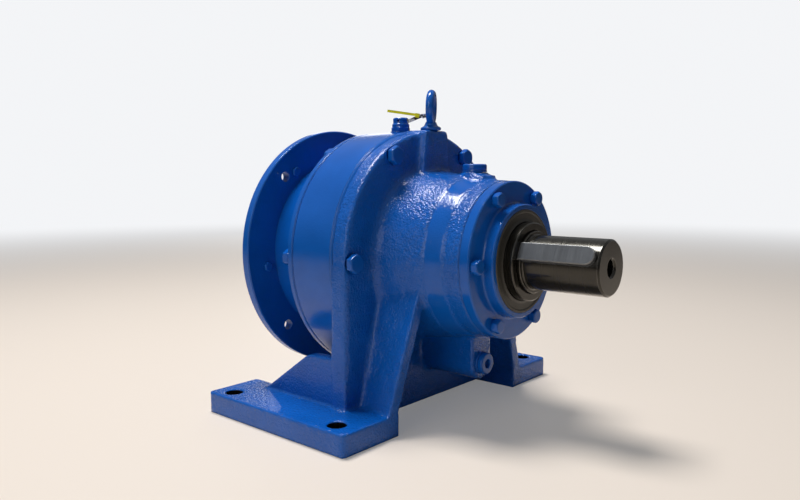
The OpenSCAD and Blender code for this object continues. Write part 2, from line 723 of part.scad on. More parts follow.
module output_cover() {
    c = 1;
    bore_r = sleeve_r + 3;
    seal_depth = seal_out_w;
    color(blue) difference() {
        turned() polygon([
            [bore_r, cover_rear_x - 3], [front_brg[1] - 0.1, cover_rear_x - 3],
            [front_brg[1] - 0.1, cover_rear_x], [cover_r - 0.4, cover_rear_x],
            [cover_r, cover_rear_x + 0.4], [cover_r, cover_front_x - c], [cover_r - c, cover_front_x],
            [seal_ring_r + 1.5, cover_front_x], [seal_ring_r + 0.4, cover_front_x + 0.6],
            [seal_ring_r, cover_front_x + 2], [seal_ring_r - 0.6, seal_ring_front_x - 1],
            [seal_ring_r - 1.5, seal_ring_front_x], [seal_out_r + 0.3, seal_ring_front_x],
            [seal_out_r, seal_ring_front_x - 0.5], [seal_out_r, seal_ring_front_x - seal_depth],
            [bore_r, seal_ring_front_x - seal_depth]
        ]);
        on_circle(range_step(6), cover_bolt_circle_r)
            bar(cover_rear_x - 1, cover_t + 2, cover_bolt_r + 0.4);
    }
}

module cover_gasket() {
    color(paper) difference() {
        tube(snout_end_x, gasket_t, front_brg[1] + 0.3, snout_front_r - 1);
        on_circle(range_step(6), cover_bolt_circle_r)
            bar(snout_end_x - 1, gasket_t + 2, cover_bolt_r + 0.4);
    }
}

// Radial oil seal: metal-stiffened rubber shell with a sealing lip and a dust lip.
module seal_section(x0, w, r_in, r_out) {
    wall = 2;
    turned() polygon([
        [r_out - seat_gap, x0], [r_out - seat_gap, x0 + w - 0.6], [r_out - 0.6, x0 + w],
        [r_out - wall, x0 + w], [r_out - wall - 0.8, x0 + w - 0.8], [r_in + 3, x0 + w - 0.8],
        [r_in + 0.6, x0 + w], [r_in + 0.1, x0 + w - 0.5], [r_in + 0.8, x0 + w - 2.4],
        [r_in + 1, x0 + w * 0.45], [r_in + 0.1, x0 + w * 0.32], [r_in + 1, x0 + 0.5],
        [r_in + 2.6, x0 + 0.5], [r_in + 3.2, x0 + w - 2.8], [r_out - wall, x0 + w - 2.8],
        [r_out - wall, x0]
    ]);
}

module output_seal() {
    color(rubber) seal_section(seal_ring_front_x - seal_out_w + 0.6, seal_out_w, sleeve_r, seal_out_r);
}

module input_seal() {
    color(rubber) seal_section(seal_in_x, seal_in_w, quill_r, seal_in_r);
}

module bearing_circlip() {
    x = input_brg_x + input_brg[2] + 0.1;
    color(dark_steel) difference() {
        tube(x, 1.8, input_brg[1] - 4, input_brg[1] + 1.9);
        translate([x - 1, -5, axis_h - input_brg[1] - 3]) cube([4, 10, 10]);
    }
}

// =============================================================================================
// Fasteners, plugs and lifting gear
// =============================================================================================

module casing_bolts() {
    rear = plate_rear_x - washer_t - nut_len - 3;
    color(blue) on_circle(range_step(6), casing_bolt_circle_r) {
        hex_head(flange_front_x, 1, casing_head_af, casing_head_h);
        bar(rear, flange_front_x - rear + eps, casing_bolt_r);
    }
}

module casing_nuts() {
    color(blue) on_circle(range_step(6), casing_bolt_circle_r) difference() {
        hex_head(plate_rear_x - washer_t, -1, casing_head_af, nut_len);
        bar(plate_rear_x - washer_t - nut_len - 1, nut_len + 2, casing_bolt_r + thread_gap);
    }
}

module casing_washers() {
    color(blue) on_circle(range_step(6), casing_bolt_circle_r) difference() {
        bar(plate_rear_x - washer_t, washer_t, casing_bolt_r * 1.68);
        bar(plate_rear_x - washer_t - 1, washer_t + 2, casing_bolt_r + 0.3);
    }
}

module cover_bolts() {
    head_x = cover_front_x + cover_washer_t;
    color(blue) on_circle(range_step(6), cover_bolt_circle_r) {
        difference() {
            bar(cover_front_x, cover_washer_t, cover_bolt_r * 1.62);
            // slit of the spring washer
            translate([cover_front_x - 1, cover_bolt_r + 0.5, -cover_bolt_r / 10])
                cube([cover_washer_t + 2, cover_bolt_r, cover_bolt_r / 5]);
        }
        hex_head(head_x - eps, 1, cover_head_af, cover_head_h);
        bar(cover_bolt_end_x, head_x - cover_bolt_end_x, cover_bolt_r);
    }
}

module eyebolt() {
    color(blue) translate([eye_x, 0, 0]) {
        translate([0, 0, eye_seat_z]) rotate_extrude() polygon([
            [0, 0], [9.4, 0], [10, 0.8], [10, 2.6], [8.6, 3.6], [6.4, 4.6], [5.4, eye_collar_h + 1.4],
            [0, eye_collar_h + 1.4]
        ]);
        translate([0, 0, eye_mid_z]) rotate([90, 0, eye_turn]) rotate_extrude()
            translate([eye_ring_r, 0]) circle(eye_wire_r, $fn = 48);
        translate([0, 0, eye_seat_z - eye_thread_len]) cylinder(r = eye_thread_r, h = eye_thread_len + eps);
    }
}

module vent_plug() {
    body_r = vent_thread_r * 1.23;
    hex_h = 3.4;
    top_h = 12.6;
    color(blue) translate([vent_x, 0, vent_seat_z + sealing_washer_t]) {
        difference() {
            union() {
                rotate_extrude() polygon([
                    [0, 0], [body_r, 0], [body_r, 6.4], [body_r - 0.8, 7.2], [body_r - 1, 7.2],
                    [body_r - 1, top_h - 1], [body_r - 2, top_h], [0, top_h]
                ]);
                cylinder(r = body_r + 1.2, h = hex_h, $fn = 6);
            }
            // cross drilling that lets the chamber breathe
            for (a = [20, 110]) rotate([0, 0, a]) translate([-body_r - 1, 0, 9.4]) rotate([0, 90, 0])
                cylinder(r = 1.1, h = 2 * body_r + 2);
        }
        translate([0, 0, -thread_len]) cylinder(r = vent_thread_r, h = thread_len + eps);
    }
}

// Socket-headed screw plug standing on +Z at the origin.
module screw_plug(head_r, head_h) {
    socket_r = 0.66 * plug_r;
    difference() {
        rotate_extrude() polygon([
            [0, 0], [head_r - 0.3, 0], [head_r, 0.4], [head_r, head_h - 0.9], [head_r - 0.9, head_h], [0, head_h]
        ]);
        translate([0, 0, head_h - 5]) cylinder(r = socket_r, h = 6, $fn = 6);
    }
    translate([0, 0, -thread_len]) cylinder(r = plug_r, h = thread_len + eps);
}

module filler_plug() {
    color(blue) translate([filler_x, 0, filler_top_z + sealing_washer_t]) screw_plug(1.6 * plug_r, 0.83 * plug_r);
}

module drain_plug() {
    color(blue) translate([drain_face_x + sealing_washer_t, 0, drain_z]) rotate([0, 90, 0])
        rotate([0, 0, 15]) screw_plug(1.457 * plug_r, 0.74 * plug_r);
}

module sealing_washer(r_in, r_out) {
    difference() {
        cylinder(r = r_out, h = sealing_washer_t);
        translate([0, 0, -1]) cylinder(r = r_in, h = sealing_washer_t + 2);
    }
}

module plug_washers() {
    color(blue) {
        translate([filler_x, 0, filler_top_z]) sealing_washer(plug_r + 0.2, 1.63 * plug_r);
        translate([drain_face_x, 0, drain_z]) rotate([0, 90, 0]) sealing_washer(plug_r + 0.2, 1.52 * plug_r);
        translate([vent_x, 0, vent_seat_z]) sealing_washer(vent_thread_r + 0.2, vent_washer_r);
    }
}

// Puts the children on the near side of the eyebolt's ring, level with the cable tie.
module at_tie() {
    translate([eye_x - tie_reach * cos(eye_turn), -tie_reach * sin(eye_turn), tie_z])
        rotate([0, 0, tie_turn]) children();
}

// Cable tie: a loop round the wire of the ring, its locking head and the straight tail.
module cable_tie() {
    head = [tie_w + 2, 1.85 * tie_w, tie_w + 2];
    color("gold") at_tie() {
        difference() {
            cylinder(r = tie_loop_r, h = tie_w);
            translate([0, 0, -1]) cylinder(r = tie_loop_r - tie_wall, h = tie_w + 2);
        }
        translate([tie_loop_r - 0.6, -head[1] / 2, tie_drop]) {
            cube(head);
            // leg from the loop down to the head
            translate([0, head[1] / 2 - tie_w / 2, 0]) cube([tie_wall, tie_w, tie_w - tie_drop]);
            translate([1, (head[1] - tie_w) / 2, tie_w / 2]) rotate([0, -tie_rise, 0])
                cube([tie_tail_len, tie_w, 0.9 * tie_wall]);
        }
    }
}

// Blank clear tag that hangs under the cable tie's head.
module hang_tag() {
    color("white") at_tie() translate([tie_loop_r + 0.3, -0.4, tie_drop - tag_size[1]])
        cube([tag_size[0], 0.8, tag_size[1]]);
}

// =============================================================================================
// Rolling bearings
// =============================================================================================

// brg is [bore radius, outer radius, width, ball radius, number of balls].
function brg_pitch(brg) = (brg[0] + brg[1]) / 2;
function brg_rim(brg) = (brg[1] - brg[0]) * 0.31;

module race(brg, x0, r_in, r_out) {
    c = 0.8;
    turned() difference() {
        polygon([
            [r_in + c, x0], [r_out - c, x0], [r_out, x0 + c], [r_out, x0 + brg[2] - c],
            [r_out - c, x0 + brg[2]], [r_in + c, x0 + brg[2]], [r_in, x0 + brg[2] - c], [r_in, x0 + c]
        ]);
        translate([brg_pitch(brg), x0 + brg[2] / 2]) circle(brg[3] + run_gap);
    }
}

module inner_ring(brg, x0) {
    color(steel) race(brg, x0, brg[0] + seat_gap, brg[0] + brg_rim(brg));
}

module outer_ring(brg, x0) {
    color(steel) race(brg, x0, brg[1] - brg_rim(brg), brg[1]);
}

// Balls and their crown-shaped cage.
module ball_set(brg, x0) {
    mid_x = x0 + brg[2] / 2;
    angles = range_step(brg[4]);
    color(bright) on_circle(angles, brg_pitch(brg)) translate([mid_x, 0, 0]) sphere(brg[3]);
    color(bronze) difference() {
        tube(mid_x - brg[3] * 0.3, brg[3] * 1.5, brg_pitch(brg) - 1.3, brg_pitch(brg) + 1.3);
        on_circle(angles, brg_pitch(brg)) translate([mid_x, 0, 0]) rotate([90, 0, 0])
            cylinder(r = brg[3] + 0.15, h = 6, center = true);
    }
}

module rear_bearing_outer() { outer_ring(rear_brg, rear_brg_x); }
module rear_bearing_inner() { inner_ring(rear_brg, rear_brg_x); }
module rear_bearing_balls() { ball_set(rear_brg, rear_brg_x); }
module front_bearing_outer() { outer_ring(front_brg, front_brg_x); }
module front_bearing_inner() { inner_ring(front_brg, front_brg_x); }
module front_bearing_balls() { ball_set(front_brg, front_brg_x); }
module input_bearing_outer() { outer_ring(input_brg, input_brg_x); }
module input_bearing_inner() { inner_ring(input_brg, input_brg_x); }
module input_bearing_balls() { ball_set(input_brg, input_brg_x); }
module pilot_bearing_outer() { outer_ring(pilot_brg, pilot_x); }
module pilot_bearing_inner() { inner_ring(pilot_brg, pilot_x); }
module pilot_bearing_balls() { ball_set(pilot_brg, pilot_x); }

// =============================================================================================
// Output side
// =============================================================================================

// The key's place: the children are drawn with the key's top facing outline +Z over the axis.
module at_key() {
    translate([0, 0, axis_h]) rotate([key_angle - 90, 0, 0]) children();
}

module key_outline(x0, x1, w) {
    translate([x0, -w / 2]) square([x1 - x0 - w / 2, w]);
    translate([x1 - w / 2, 0]) circle(w / 2);
}

module output_shaft() {
    tip_c = 1.6;
    seat_r = pilot_brg[1] + seat_gap;
    color(dark_steel) difference() {
        union() {
            turned() polygon([
                [0, carrier_rear_x], [carrier_r - 1, carrier_rear_x], [carrier_r, carrier_rear_x + 1],
                [carrier_r, carrier_front_x - 3], [carrier_r - 2, carrier_front_x - 1],
                [shaft_rear_r + 8, carrier_front_x - 1], [shaft_rear_r + 6, rear_brg_x],
                [shaft_rear_r, rear_brg_x], [shaft_rear_r, spacer_x - 0.5],
                [shaft_front_r, spacer_x - 0.5], [shaft_front_r, step_front_x - 0.5],
                [shaft_front_r - 0.5, step_front_x], [shaft_r + 0.8, step_front_x],
                [shaft_r, step_front_x + 0.8], [shaft_r, shaft_tip_x - tip_c],
                [shaft_r - tip_c, shaft_tip_x], [0, shaft_tip_x]
            ]);
        }
        // pilot bearing seat
        rod(carrier_rear_x - 1, pilot_x + pilot_brg[2] + 0.5 - carrier_rear_x + 1, seat_r);
        // seats of the output pins
        on_circle(range_step(output_pins_n), output_circle_r)
            bar(carrier_rear_x - 1, pin_seat_depth + 1, output_pin_r + seat_gap);
        // keyway
        at_key() translate([0, 0, shaft_r + key_proud - key_h])
            linear_extrude(key_h * 2) key_outline(sleeve_front_x, shaft_tip_x - key_to_end, key_w);
        // threaded centre hole with its lead-in
        rod(shaft_tip_x - centre_hole_depth, centre_hole_depth + 1, centre_hole_r);
        turned() polygon([
            [0, shaft_tip_x - 2], [centre_hole_r - 0.3, shaft_tip_x - 2],
            [centre_hole_r + 1.6, shaft_tip_x + eps], [0, shaft_tip_x + eps]
        ]);
    }
}

module shaft_key() {
    c = 0.5;
    x0 = sleeve_front_x + 0.1;
    x1 = shaft_tip_x - key_to_end;
    color(dark_steel) at_key() translate([0, 0, shaft_r + key_proud - key_h + 0.05]) {
        linear_extrude(key_h - 0.05 - c) key_outline(x0, x1 - 0.05, key_w - 0.1);
        linear_extrude(key_h - 0.05) key_outline(x0 + c, x1 - 0.05 - c, key_w - 0.1 - 2 * c);
    }
}

module seal_sleeve() {
    rear_x = front_brg_x + front_brg[2];
    color(dark_steel) chamfered_ring(rear_x, sleeve_front_x - rear_x, shaft_front_r + seat_gap, sleeve_r, 0.8);
}

module bearing_spacer() {
    color(steel) chamfered_ring(spacer_x, front_brg_x - spacer_x, shaft_front_r + 0.1, shaft_rear_r + 3, 0.5);
}

module output_pins() {
    rear_x = disc_a_x - 1;
    len = carrier_rear_x + pin_seat_depth - rear_x;
    color(bright) on_circle(range_step(output_pins_n), output_circle_r) {
        bar(rear_x, len, output_pin_r);
        // head that keeps the roller on
        bar(rear_x - 1.5, 1.5 + eps, output_pin_r + 1.2);
    }
}

module output_roller(i) {
    rear_x = disc_a_x - 0.8;
    len = carrier_rear_x - 0.3 - rear_x;
    color(steel) on_circle([(i - 1) * 360 / output_pins_n], output_circle_r) difference() {
        bar(rear_x, len, output_roller_r);
        bar(rear_x - 1, len + 2, output_pin_r + 0.05);
    }
}

module output_roller_1() { output_roller(1); }
module output_roller_2() { output_roller(2); }
module output_roller_3() { output_roller(3); }
module output_roller_4() { output_roller(4); }
module output_roller_5() { output_roller(5); }
module output_roller_6() { output_roller(6); }
module output_roller_7() { output_roller(7); }
module output_roller_8() { output_roller(8); }

// Ring that keeps the two discs apart; it lies inside the circle of rollers.
module disc_spacer() {
    r_out = output_circle_r - output_roller_r - 0.15;
    color(steel) tube(disc_a_x + disc_t + 0.15, disc_gap - 0.3, r_out - 5, r_out);
}

// =============================================================================================
// Input side
// =============================================================================================

module input_quill() {
    c = 1;
    key_top = motor_bore_r + 3.3;
    color(steel) difference() {
        turned() polygon([
            [0, quill_rear_x], [quill_r - c, quill_rear_x], [quill_r, quill_rear_x + c],
            [quill_r, input_brg_x + input_brg[2]], [quill_r + 3, input_brg_x + input_brg[2]],
            [quill_r + 3, collar_front_x], [quill_cam_r, collar_front_x],
            [quill_cam_r, carrier_rear_x - 0.8], [quill_pilot_r + 2, carrier_rear_x - 0.8],
            [quill_pilot_r + 2, pilot_x], [quill_pilot_r, pilot_x], [quill_pilot_r, quill_tip_x - c],
            [quill_pilot_r - c, quill_tip_x], [0, quill_tip_x]
        ]);
        rod(quill_rear_x - 1, motor_bore_depth + 1, motor_bore_r);
        // keyway of the motor shaft
        translate([quill_rear_x - 1, -motor_key_w / 2, axis_h]) cube([motor_bore_depth, motor_key_w, key_top]);
        // seat of the cam's key
        translate([disc_a_x + 1, -3, axis_h + quill_cam_r - 3]) cube([2 * disc_t + disc_gap - 2, 6, 6]);
        // circlip groove in front of the cams
        tube(cam_front_x() + 0.1, 1.9, quill_cam_r - 1, quill_cam_r + 1);
    }
}

function cam_front_x() = disc_b_x + disc_t + 0.5;

module eccentric_cam() {
    rear_x = collar_front_x;
    mid_x = stage_mid_x;
    color(steel) difference() {
        union() {
            translate([0, ecc * cos(ring_phase), ecc * sin(ring_phase)]) rod(rear_x, mid_x - rear_x, cam_r);
            translate([0, -ecc * cos(ring_phase), -ecc * sin(ring_phase)])
                rod(mid_x - eps, cam_front_x() - mid_x + eps, cam_r);
        }
        rod(rear_x - 1, cam_front_x() - rear_x + 2, quill_cam_r + seat_gap);
        translate([rear_x - 1, -3.05, axis_h]) cube([cam_front_x() - rear_x + 2, 6.1, quill_cam_r + 2.6]);
    }
}

module cam_key() {
    color(steel) translate([disc_a_x + 1.1, -2.95, axis_h + quill_cam_r - 2.95])
        cube([2 * disc_t + disc_gap - 2.2, 5.9, 5.4]);
}

module quill_circlip() {
    color(dark_steel) difference() {
        tube(cam_front_x() + 0.15, 1.8, quill_cam_r - 0.95, quill_cam_r + 3);
        translate([cam_front_x() - 1, -3, axis_h - quill_cam_r - 4]) cube([4, 6, 8]);
    }
}

// =============================================================================================
// Cycloid discs and their bearings
// =============================================================================================

// One point of the disc's outline, an equidistant of a shortened epitrochoid.
function cycloid_point(t) =
    let (n = ring_pins_n, psi = atan2(sin((1 - n) * t), pin_circle_r / (ecc * n) - cos((1 - n) * t)))
    [
        pin_circle_r * cos(t) - profile_r * cos(t + psi) - ecc * cos(n * t),
        -pin_circle_r * sin(t) + profile_r * sin(t + psi) + ecc * sin(n * t)
    ];

module cycloid_disc(x0) {
    steps = disc_lobes * points_per_lobe;
    across(x0, disc_t) difference() {
        rotate(ring_phase) polygon([for (i = [0 : steps - 1]) cycloid_point(i * 360 / steps)]);
        circle(disc_bore_r);
        for (a = range_step(output_pins_n))
            translate([output_circle_r * cos(a), output_circle_r * sin(a)]) circle(disc_hole_r);
    }
}

// Moves the children off the shaft axis with the cam: sign +1 for disc A, -1 for disc B.
module on_cam(sign) {
    translate([0, sign * ecc * cos(ring_phase), sign * ecc * sin(ring_phase)]) children();
}

module disc_a() {
    color(bright) on_cam(1) cycloid_disc(disc_a_x);
}

// Disc B is disc A turned half round about the shaft axis.
module disc_b() {
    color(bright) on_cam(-1) translate([0, 0, axis_h]) rotate([180, 0, 0]) translate([0, 0, -axis_h])
        cycloid_disc(disc_b_x);
}

module eccentric_rollers(x0) {
    pitch_r = cam_r + ecc_roller_r;
    angles = range_step(ecc_rollers_n);
    color(bright) on_circle(angles, pitch_r) bar(x0 + 1.5, disc_t - 3, ecc_roller_r - run_gap);
    color(bronze) difference() {
        tube(x0 + 0.5, disc_t - 1, pitch_r - 1.6, pitch_r + 1.6);
        on_circle(angles, pitch_r) bar(x0 + 1.4, disc_t - 2.8, ecc_roller_r + 0.1);
    }
}

module eccentric_rollers_a() {
    on_cam(1) eccentric_rollers(disc_a_x);
}

module eccentric_rollers_b() {
    on_cam(-1) eccentric_rollers(disc_b_x);
}

casing();
ring_housing();
motor_adapter();
adapter_plate();
input_carrier();
motor_flange();
output_cover();
ring_pins();
ring_gaskets();
cover_gasket();
casing_bolts();
casing_nuts();
casing_washers();
cover_bolts();
flange_screws();
eyebolt();
vent_plug();
filler_plug();
drain_plug();
plug_washers();
cable_tie();
hang_tag();
output_seal();
input_seal();
bearing_circlip();
output_shaft();
shaft_key();
seal_sleeve();
bearing_spacer();
output_pins();
disc_spacer();
output_roller_1();
output_roller_2();
output_roller_3();
output_roller_4();
output_roller_5();
output_roller_6();
output_roller_7();
output_roller_8();
rear_bearing_outer();
rear_bearing_inner();
rear_bearing_balls();
front_bearing_outer();
front_bearing_inner();
front_bearing_balls();
input_bearing_outer();
input_bearing_inner();
input_bearing_balls();
pilot_bearing_outer();
pilot_bearing_inner();
pilot_bearing_balls();
input_quill();
eccentric_cam();
cam_key();
quill_circlip();
disc_a();
disc_b();
eccentric_rollers_a();
eccentric_rollers_b();
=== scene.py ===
import json
import math

import bmesh
import bpy
import numpy as np
from mathutils import Matrix, Vector


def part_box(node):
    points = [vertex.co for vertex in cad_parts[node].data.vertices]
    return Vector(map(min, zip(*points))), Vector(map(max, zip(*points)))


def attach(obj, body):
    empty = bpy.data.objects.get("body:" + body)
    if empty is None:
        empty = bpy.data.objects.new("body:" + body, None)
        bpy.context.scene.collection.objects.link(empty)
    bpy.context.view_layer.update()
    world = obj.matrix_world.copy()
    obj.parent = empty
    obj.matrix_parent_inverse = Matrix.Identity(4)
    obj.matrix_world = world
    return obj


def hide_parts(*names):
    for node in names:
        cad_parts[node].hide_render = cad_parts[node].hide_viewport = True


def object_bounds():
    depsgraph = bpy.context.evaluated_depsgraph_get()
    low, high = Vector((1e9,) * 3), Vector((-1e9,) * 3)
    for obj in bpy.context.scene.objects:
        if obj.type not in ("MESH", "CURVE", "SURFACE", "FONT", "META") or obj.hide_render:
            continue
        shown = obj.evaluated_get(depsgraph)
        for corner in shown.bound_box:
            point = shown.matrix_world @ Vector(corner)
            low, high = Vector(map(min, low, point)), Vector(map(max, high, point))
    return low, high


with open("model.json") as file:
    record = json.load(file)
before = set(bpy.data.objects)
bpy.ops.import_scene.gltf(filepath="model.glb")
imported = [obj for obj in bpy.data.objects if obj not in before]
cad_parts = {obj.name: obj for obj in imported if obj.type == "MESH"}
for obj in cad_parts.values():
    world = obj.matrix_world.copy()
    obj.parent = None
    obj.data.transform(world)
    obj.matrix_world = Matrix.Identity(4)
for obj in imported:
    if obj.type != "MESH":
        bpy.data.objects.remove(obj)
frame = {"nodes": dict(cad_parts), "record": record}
cad_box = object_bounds()
nodes = frame["nodes"]
scene = bpy.context.scene
scene.view_settings.view_transform = "Standard"

AXIS_H = 0.15  # height of the shaft axis; every length here is in metres

# ---- objects and shader nodes ----------------------------------------------------------------------


def linked(name, data):
    """A new object of the scene with this data."""
    obj = bpy.data.objects.new(name, data)
    scene.collection.objects.link(obj)
    return obj


def object_from(bm, name):
    """A new object with the mesh that bm holds."""
    mesh = bpy.data.meshes.new(name)
    bm.to_mesh(mesh)
    bm.free()
    return linked(name, mesh)


def add(tree, kind, inputs=None, **settings):
    """A new shader node. What inputs gives for a socket is another node's output or a constant."""
    node = tree.nodes.new("ShaderNode" + kind)
    for name, value in settings.items():
        setattr(node, name, value)
    for socket, value in (inputs or {}).items():
        if isinstance(value, bpy.types.NodeSocket):
            tree.links.new(value, node.inputs[socket])
        else:
            node.inputs[socket].default_value = value
    return node


def remap(tree, value, lo, hi, from_lo=0.0, from_hi=1.0, **settings):
    """The value moved from one range to another, and kept within it."""
    ranges = {"Value": value, "From Min": from_lo, "From Max": from_hi, "To Min": lo, "To Max": hi}
    return add(tree, "MapRange", ranges, **settings).outputs[0]


def node_material(name):
    """A new material with its node tree and its shader."""
    mat = bpy.data.materials.new(name)
    mat.use_nodes = True
    return mat, mat.node_tree, mat.node_tree.nodes["Principled BSDF"]


# ---- camera, solved from the circles and the foot holes in the photo ---------------------------------

AZIMUTH, PITCH, ROLL = math.radians(40.752), math.radians(-5.749), math.radians(-0.22)
CAMERA_PLACE = (0.4799, -0.5406, 0.22275)
SENSOR_MM, LENS_MM = 36, 31.51
CLIP = (0.05, 30)


def make_camera():
    """The camera stands where the photo was taken from."""
    data = bpy.data.cameras.new("camera")
    data.sensor_width = SENSOR_MM
    data.lens = LENS_MM
    data.clip_start, data.clip_end = CLIP
    level, rise = math.cos(PITCH), math.sin(PITCH)
    look = Vector((-math.sin(AZIMUTH) * level, math.cos(AZIMUTH) * level, rise))
    side = look.cross(Vector((0, 0, 1))).normalized()
    top = side.cross(look)
    turn = Matrix.Rotation(-ROLL, 3, look)
    side, top = turn @ side, turn @ top
    camera = linked("camera", data)
    rows = [(side[k], top[k], -look[k], CAMERA_PLACE[k]) for k in range(3)]
    camera.matrix_world = Matrix((*rows, (0, 0, 0, 1)))
    scene.camera = camera


make_camera()

# ---- light, backdrop and floor -----------------------------------------------------------------------

WARM, WHITE = (1, 0.99, 0.97), (1, 1, 1)
LAMPS = [
    # name, place, target, side in metres, watts, tint
    ("lamp_top", (-0.35, -0.1, 1.9), (0, 0, 0.15), 0.6, 40, WARM),
    ("lamp_left", (0.15, -2.1, 0.9), (-0.05, 0, 0.15), 1.4, 10.5, WARM),
    ("lamp_back", (-1.5, 1.6, 0.5), (0, 0, 0.2), 0.9, 4, WHITE),
]
BACKDROP = (0.9, 0.91, 0.93)
AMBIENT = 0.1  # the backdrop's strength for diffuse rays
SKY_LOW, SKY_HIGH = 0.03, 0.3  # its strength in reflections, level with the object and from above
SKY_RISE = 0.45  # upward part of a ray's direction from which the strength is SKY_HIGH
FLOOR_REACH = 30
FLOOR_COLOUR = (0.77, 0.67, 0.575)
FLOOR_GRAIN, FLOOR_ROUGH = 6, (0.5, 0.6)
FLOOR_FADE = (0.9, 3.2)  # the floor fades into the backdrop between these distances
FLOOR_GLOW = 0.2  # share of the backdrop on the nearest floor


def area_light(name, place, target, size, power, tint):
    """A square lamp that the camera doesn't see."""
    data = bpy.data.lights.new(name, "AREA")
    data.energy = power
    data.color = tint
    data.size = size
    lamp = linked(name, data)
    lamp.location = place
    lamp.visible_camera = False
    lamp.rotation_mode = "QUATERNION"
    lamp.rotation_quaternion = (Vector(target) - Vector(place)).to_track_quat("-Z", "Y")


def make_world():
    """Bright for the camera, dim for diffuse rays, and in reflections darker at the sides than above."""
    world = bpy.data.worlds.new("world")
    scene.world = world
    world.use_nodes = True
    tree = world.node_tree
    back = tree.nodes["Background"]
    path = add(tree, "LightPath")
    direction = add(tree, "SeparateXYZ", {0: add(tree, "TexCoord").outputs["Generated"]})
    sky = remap(tree, direction.outputs["Z"], SKY_LOW, SKY_HIGH, 0, SKY_RISE)
    unseen = remap(tree, path.outputs["Is Glossy Ray"], AMBIENT, sky)
    tree.links.new(remap(tree, path.outputs["Is Camera Ray"], unseen, 1), back.inputs["Strength"])
    back.inputs["Color"].default_value = (*BACKDROP, 1)


def make_floor():
    """A pale floor that fades into the backdrop far from the object, for the camera only."""
    mesh = bpy.data.meshes.new("floor")
    reach = FLOOR_REACH
    mesh.from_pydata([(-reach, -reach, 0), (reach, -reach, 0), (reach, reach, 0), (-reach, reach, 0)], [],
                     [(0, 1, 2, 3)])
    mesh.update()
    floor = linked("floor", mesh)
    mat, tree, shader = node_material("floor_pale")
    shader.inputs["Base Color"].default_value = (*FLOOR_COLOUR, 1)
    grain = add(tree, "TexNoise", {"Scale": FLOOR_GRAIN})
    tree.links.new(remap(tree, grain.outputs["Fac"], *FLOOR_ROUGH), shader.inputs["Roughness"])
    place = add(tree, "NewGeometry").outputs["Position"]
    distance = add(tree, "VectorMath", {0: place}, operation="LENGTH").outputs["Value"]
    far = remap(tree, distance, FLOOR_GLOW, 1, *FLOOR_FADE, interpolation_type="SMOOTHSTEP")
    seen = add(tree, "LightPath").outputs["Is Camera Ray"]
    share = add(tree, "Math", {0: far, 1: seen}, operation="MULTIPLY").outputs[0]
    glow = add(tree, "Emission", {"Color": (*BACKDROP, 1)}).outputs[0]
    mix = add(tree, "MixShader", {"Fac": share, 1: shader.outputs[0], 2: glow})
    tree.links.new(mix.outputs[0], tree.nodes["Material Output"].inputs["Surface"])
    floor.data.materials.append(mat)


for lamp_values in LAMPS:
    area_light(*lamp_values)
make_world()
make_floor()

# ---- materials ---------------------------------------------------------------------------------------

EDGE = 0.0007  # radius of the broken edges of steel, rubber and plastic
PAINT_EDGE = 0.001
EDGE_LEAN = (0.82, 0.985)  # cosine between the true and the bevelled normal, at a sharp edge and beside it
NOISE = (0.3, 0.7)  # where most of a noise texture's values lie
# scale, detail and roughness of noise textures
PAINT_TONE, PAINT_GLOSS = (22, 3, 0.6), (60, 3, 0.6)
SPRAY, CASTING = (540, 1, 0.5), (190, 2, 0.5)
STEEL_TONE, STEEL_LINES = (40, 3, 0.6), (1, 2, 0.5)
# noise of the film's folds, which also places its painted shade and highlights
FILM_FOLDS_AND_PAINTED_LIGHT = (260, 2, 0.5)
BLUE_DEEP, BLUE_LIGHT = (0.002, 0.086, 0.40), (0.004, 0.106, 0.48)
# lighter blue that the sharp edges of the smooth enamel take: a painted highlight
BLUE_EDGE_HIGHLIGHT = (0.10, 0.24, 0.62)
# pale colour that sharp steel edges take: a painted highlight
STEEL_EDGE_HIGHLIGHT = (0.5, 0.49, 0.46)
# dark painted shade and bright painted highlights on the film
FILM_PAINTED_SHADE, FILM_PAINTED_HIGHLIGHT = (0.02, 0.02, 0.025), (0.8, 0.82, 0.86)
STREAKS = (900, 4, 4)  # turning marks run round the X axis
STREAK_DEPTH = 0.00001


def object_coords(tree):
    return add(tree, "TexCoord").outputs["Object"]


def noise(tree, coords, scale, detail, rough):
    """The value of a noise texture."""
    values = {"Scale": scale, "Detail": detail, "Roughness": rough, "Vector": coords}
    return add(tree, "TexNoise", values).outputs["Fac"]


def scaled(colour, share, lift=0.0):
    """A lighter or darker colour."""
    return tuple(min(1, lift + c * share) for c in colour)


def colour_mix(tree, share, a, b):
    """From a to b. Each is a colour or a node's output."""
    a, b = (c if isinstance(c, bpy.types.NodeSocket) else (*c, 1) for c in (a, b))
    return add(tree, "Mix", {"Factor": share, "A": a, "B": b}, data_type="RGBA").outputs["Result"]


def bevelled(tree, radius):
    """The surface normal with edges rounded by this radius."""
    return add(tree, "Bevel", {"Radius": radius}).outputs["Normal"]


def bumps(tree, shader, layers, edge=0.0):
    """Each layer is (height output, distance in metres, strength). edge is the radius of broken edges."""
    last = bevelled(tree, edge) if edge else None
    for height, distance, strength in layers:
        values = {"Distance": distance, "Strength": strength, "Height": height}
        if last is not None:
            values["Normal"] = last
        last = add(tree, "Bump", values).outputs["Normal"]
    tree.links.new(last, shader.inputs["Normal"])


def painted_edge_highlights(tree, shader, colour, tint, share):
    """Painted highlight: sharp edges take on the tint, a lighter colour that stands in for the light they
    catch, on steel, rubber, paper, plastic and the smooth enamel.
    """
    flat = add(tree, "NewGeometry").outputs["Normal"]
    lean = add(tree, "VectorMath", {0: bevelled(tree, EDGE), 1: flat}, operation="DOT_PRODUCT")
    # the lighter colour along sharp edges is a painted highlight
    highlight_mask = remap(tree, lean.outputs["Value"], share, 0, *EDGE_LEAN)
    tree.links.new(colour_mix(tree, highlight_mask, colour, tint), shader.inputs["Base Color"])


